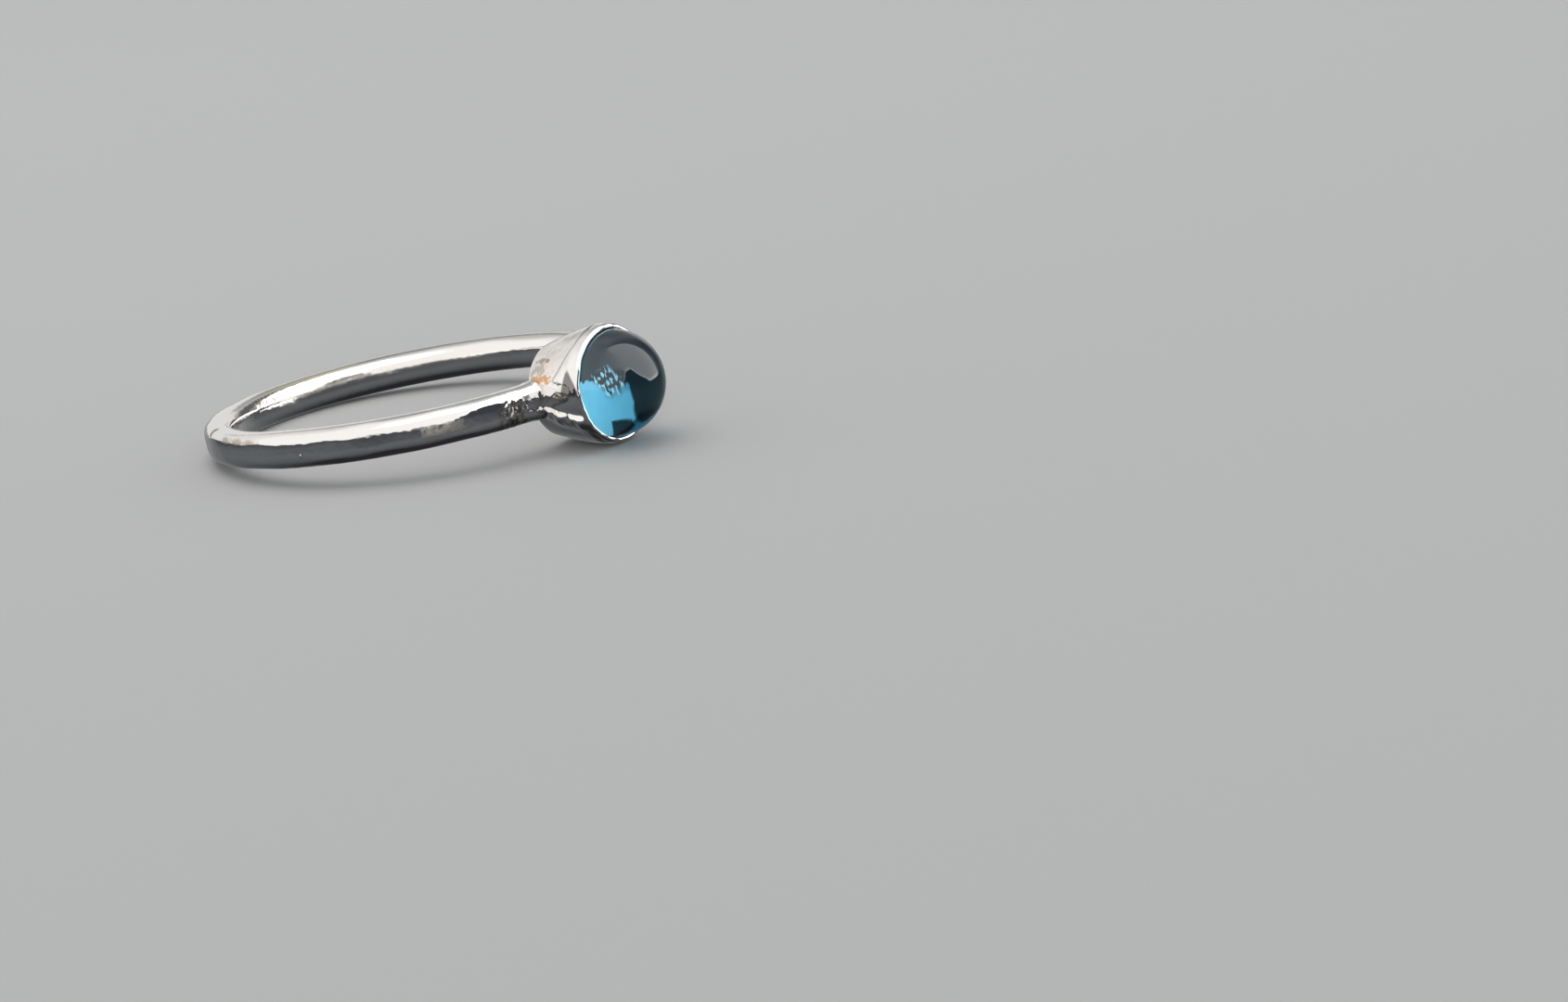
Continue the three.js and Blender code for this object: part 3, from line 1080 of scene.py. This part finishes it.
        beside = n.ramp(bearing, self.greys([(0.55, 0.0), (0.60, 1.0), (0.80, 1.0), (0.84, 0.0)]))
        return n.mix(beside, sky, lit), over

    def ground(self, n: Nodes, bearing: bpy.types.NodeSocket,
               height: bpy.types.NodeSocket) -> bpy.types.NodeSocket:
        """The mirrored ground: dark slate on the camera's side, paler behind the ring."""
        down = n.math("MULTIPLY", height, -1.0)
        slate = n.ramp(down, [(0.0, (0.046, 0.048, 0.058)), (0.26, (0.120, 0.129, 0.137)),
                              (0.55, (0.090, 0.097, 0.104)), (0.9, (0.02, 0.02, 0.022))])
        paler = n.ramp(down, [(0.0, (0.34, 0.345, 0.345)), (0.4, (0.17, 0.175, 0.18)),
                              (0.9, (0.02, 0.02, 0.022))])
        away = n.ramp(bearing, self.greys([(0.06, 1.0), (0.12, 0.0), (0.84, 0.0), (0.92, 1.0)]))
        return n.mix(away, slate, paler)

    def world(self) -> None:
        """The light all round: an even pale dome for the floor, a pale sky over dark slate for
        what the metal and stone mirror, and a brighter dome for what is seen through the stone."""
        world = bpy.data.worlds.new("world")
        bpy.context.scene.world = world
        world.use_nodes = True
        n = Nodes(world.node_tree)
        way = n.add("TexCoord").outputs["Generated"]
        height = n.add("SeparateXYZ", {"Vector": way}).outputs["Z"]
        near = n.add("VectorMath", {0: way, 1: self.near_side}, operation="DOT_PRODUCT")
        beside = n.add("VectorMath", {0: way, 1: self.right_side}, operation="DOT_PRODUCT")
        turn = n.math("ARCTAN2", beside.outputs["Value"], near.outputs["Value"])
        bearing = n.math("ADD", n.math("DIVIDE", turn, 2 * math.pi), 0.5)
        sky, over = self.sky(n, bearing, height)
        above = n.math("ADD", n.math("MULTIPLY", over, self.skyline_edge), 0.5, clamp=True)
        mirrored = n.mix(above, self.ground(n, bearing, height), sky)
        through = n.ramp(height, self.greys([(0.0, 1.15), (0.2, 2.7)]))
        path = n.add("LightPath")
        dome = n.mix(path.outputs["Is Glossy Ray"], self.dome_colour, mirrored)
        colour = n.mix(path.outputs["Is Transmission Ray"], dome, through)
        shine = n.add("Background", {"Color": colour, "Strength": 1.0})
        n.add("OutputWorld", {"Surface": shine.outputs[0]})

    @staticmethod
    def greys(stops: list[tuple[float, float]]) -> list[tuple[float, tuple]]:
        """Grey ramp stops from (place, value) pairs."""
        return [(place, (value, value, value)) for place, value in stops]

    @staticmethod
    def tones(stops: list[tuple[float, float]]) -> list[tuple[float, tuple]]:
        """Ramp stops from (place, value) pairs, a little warm."""
        return [(place, (value, value * 0.985, value * 0.97)) for place, value in stops]

    def build(self, lie: Lie) -> None:
        """Everything that isn't part of the ring."""
        self.camera(lie)
        self.floor()
        self.light()
        self.world()
        scene = bpy.context.scene
        scene.view_settings.view_transform = "Standard"
        scene.cycles.max_bounces = self.light_steps
        scene.cycles.glossy_bounces = self.light_steps
        scene.cycles.transmission_bounces = self.light_steps


# -------- making it


def declare(piece: bpy.types.Object, node: Node) -> None:
    """Attach a finished piece to the body it rides on, hide the CAD node it stands for, and log its
    face count.
    """
    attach(piece, BODY)
    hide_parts(node.value)
    LOG.info("%s: %d faces", piece.name, len(piece.data.polygons))


def main() -> None:
    """Build the studio and the ring's pieces, in order, and note their size."""
    logging.basicConfig(level=logging.INFO, format="%(name)s: %(message)s")
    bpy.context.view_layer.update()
    lie = Lie()
    Studio().build(lie)
    silver = PolishedSilver().material()
    cup = BezelCup()
    declare(cup.build(lie, silver), Node.METAL)
    declare(Band(cup).build(lie, silver), Node.METAL)
    stone = Cabochon(cup).build(lie, ClearBlueStone().material(), PaintedLightFoil().material())
    declare(stone, Node.STONE)


if __name__ == "__main__":
    main()
